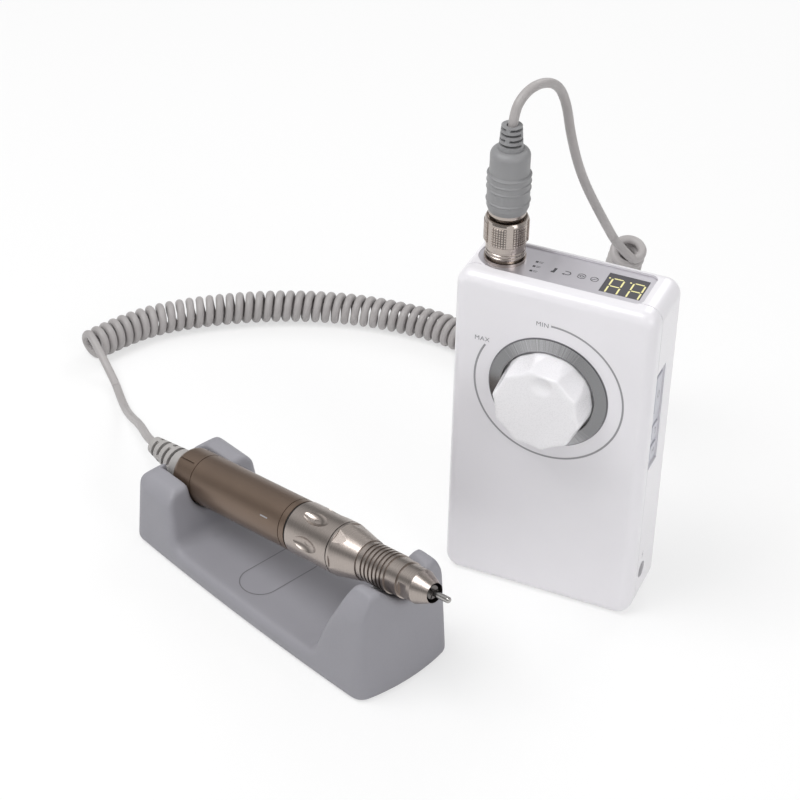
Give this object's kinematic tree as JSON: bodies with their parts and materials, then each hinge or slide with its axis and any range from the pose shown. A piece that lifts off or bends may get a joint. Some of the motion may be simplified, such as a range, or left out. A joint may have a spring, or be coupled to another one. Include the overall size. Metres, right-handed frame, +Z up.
{
  "type": "cordless nail drill",
  "caption": "Battery nail drill: upright control box with speed dial and display, curly cord, pen handpiece resting in a cradle.",
  "frame": {"origin": "centre of the control box's base, on the table", "axes": "+X to the control box's right seen from its front, +Y to its back, +Z up"},
  "size_m": [0.2724, 0.2319, 0.1996],
  "materials": {
    "white_shell": "satin",
    "white_knob": "gloss",
    "silver_trim": "brushed",
    "panel_metal": "brushed",
    "dark_window": "gloss",
    "nickel": "satin",
    "grey_rubber": "matte",
    "cord_grey": "satin",
    "bronze": "satin",
    "cradle_grey": "matte",
    "foot_rubber": "matte",
    "steel": "satin",
    "dark_steel": "satin",
    "black_seal": "matte",
    "board_green": "satin",
    "black_plastic": "matte",
    "cell_wrap": "satin",
    "foam": "matte",
    "copper_rotor": "satin"
  },
  "bodies": {
    "box": {"front_shell": "white_shell", "rear_shell": "white_shell", "case_screws": "steel", "board_screws": "steel", "top_panel": "panel_metal", "display_window": "dark_window", "display_module": "black_plastic", "display_board": "board_green", "dial_ring": "silver_trim", "potentiometer": "dark_steel", "pot_nut": "steel", "main_board": "board_green", "battery_cell_1": "cell_wrap", "battery_cell_2": "cell_wrap", "battery_cell_3": "cell_wrap", "battery_tray": "black_plastic", "battery_pad": "foam", "side_plate": "panel_metal", "tact_switches": "black_plastic", "switch_board": "board_green", "dc_jack": "black_plastic", "socket": "nickel", "socket_nut": "nickel", "socket_insert": "black_plastic", "cord_coil": "cord_grey", "plug_lead": "cord_grey", "handpiece_lead": "cord_grey", "cradle": "cradle_grey", "cradle_feet": "foot_rubber"},
    "dial": {"speed_knob": "white_knob", "pot_shaft": "steel"},
    "power_key": {"power_button": "silver_trim"},
    "direction_key": {"direction_button": "silver_trim"},
    "mode_key": {"mode_button": "silver_trim"},
    "plug": {"plug_shell": "nickel", "plug_insert": "black_plastic", "plug_boot": "grey_rubber"},
    "sleeve": {"coupling_sleeve": "nickel"},
    "handpiece": {"motor_housing": "bronze", "strain_relief": "grey_rubber", "motor_can": "steel", "motor_bearings": "steel", "ring_seals": "black_seal", "nose_cone": "nickel", "nose_cap": "nickel", "spindle_bearings": "steel"},
    "twist_ring": {"lock_ring": "nickel"},
    "drive": {"rotor": "copper_rotor", "drive_coupling": "black_plastic", "spindle": "steel"},
    "chuck": {"collet": "dark_steel"},
    "tool": {"bur": "steel"}
  },
  "joints": [
    {"name": "dial_turn", "type": "hinge", "parent": "box", "child": "dial", "pos_m": [0, -0.0155, 0.0932], "axis": [0, 1, 0], "range_deg": [-10, 290]},
    {"name": "power_press", "type": "slide", "parent": "box", "child": "power_key", "axis": [-1, 0, 0], "range_m": [0, 0.0006], "stiffness_N_per_m": 400, "springref_m": -0.001},
    {"name": "direction_press", "type": "slide", "parent": "box", "child": "direction_key", "axis": [-1, 0, 0], "range_m": [0, 0.0006], "stiffness_N_per_m": 400, "springref_m": -0.001},
    {"name": "mode_press", "type": "slide", "parent": "box", "child": "mode_key", "axis": [-1, 0, 0], "range_m": [0, 0.0006], "stiffness_N_per_m": 400, "springref_m": -0.001},
    {"name": "plug_pull", "type": "slide", "parent": "box", "child": "plug", "axis": [0, 0, 1], "range_m": [0, 0.012], "deforming": ["plug_lead"]},
    {"name": "sleeve_release", "type": "slide", "parent": "plug", "child": "sleeve", "axis": [0, 0, 1], "range_m": [0, 0.0018], "stiffness_N_per_m": 500, "springref_m": -0.001},
    {"name": "handpiece_lift", "type": "slide", "parent": "box", "child": "handpiece", "axis": [0, 0, 1], "range_m": [0, 0.04], "deforming": ["handpiece_lead"]},
    {"name": "lock_twist", "type": "hinge", "parent": "handpiece", "child": "twist_ring", "pos_m": [-0.13756, -0.03257, 0.0253], "axis": [0.9077, -0.3834, 0.1704], "range_deg": [0, 35]},
    {"name": "spindle_spin", "type": "hinge", "parent": "handpiece", "child": "drive", "pos_m": [-0.13756, -0.03257, 0.0253], "axis": [0.9077, -0.3834, 0.1704], "continuous": true},
    {"name": "collet_open", "type": "slide", "parent": "drive", "child": "chuck", "axis": [0.9077, -0.3834, 0.1704], "range_m": [0, 0.0008]},
    {"name": "bur_pull", "type": "slide", "parent": "drive", "child": "tool", "axis": [0.9077, -0.3834, 0.1704], "range_m": [0, 0.03]}
  ],
  "couplings": [
    {"joint": "collet_open", "follows": "lock_twist", "m_per_rad": 0.0013096}
  ]
}
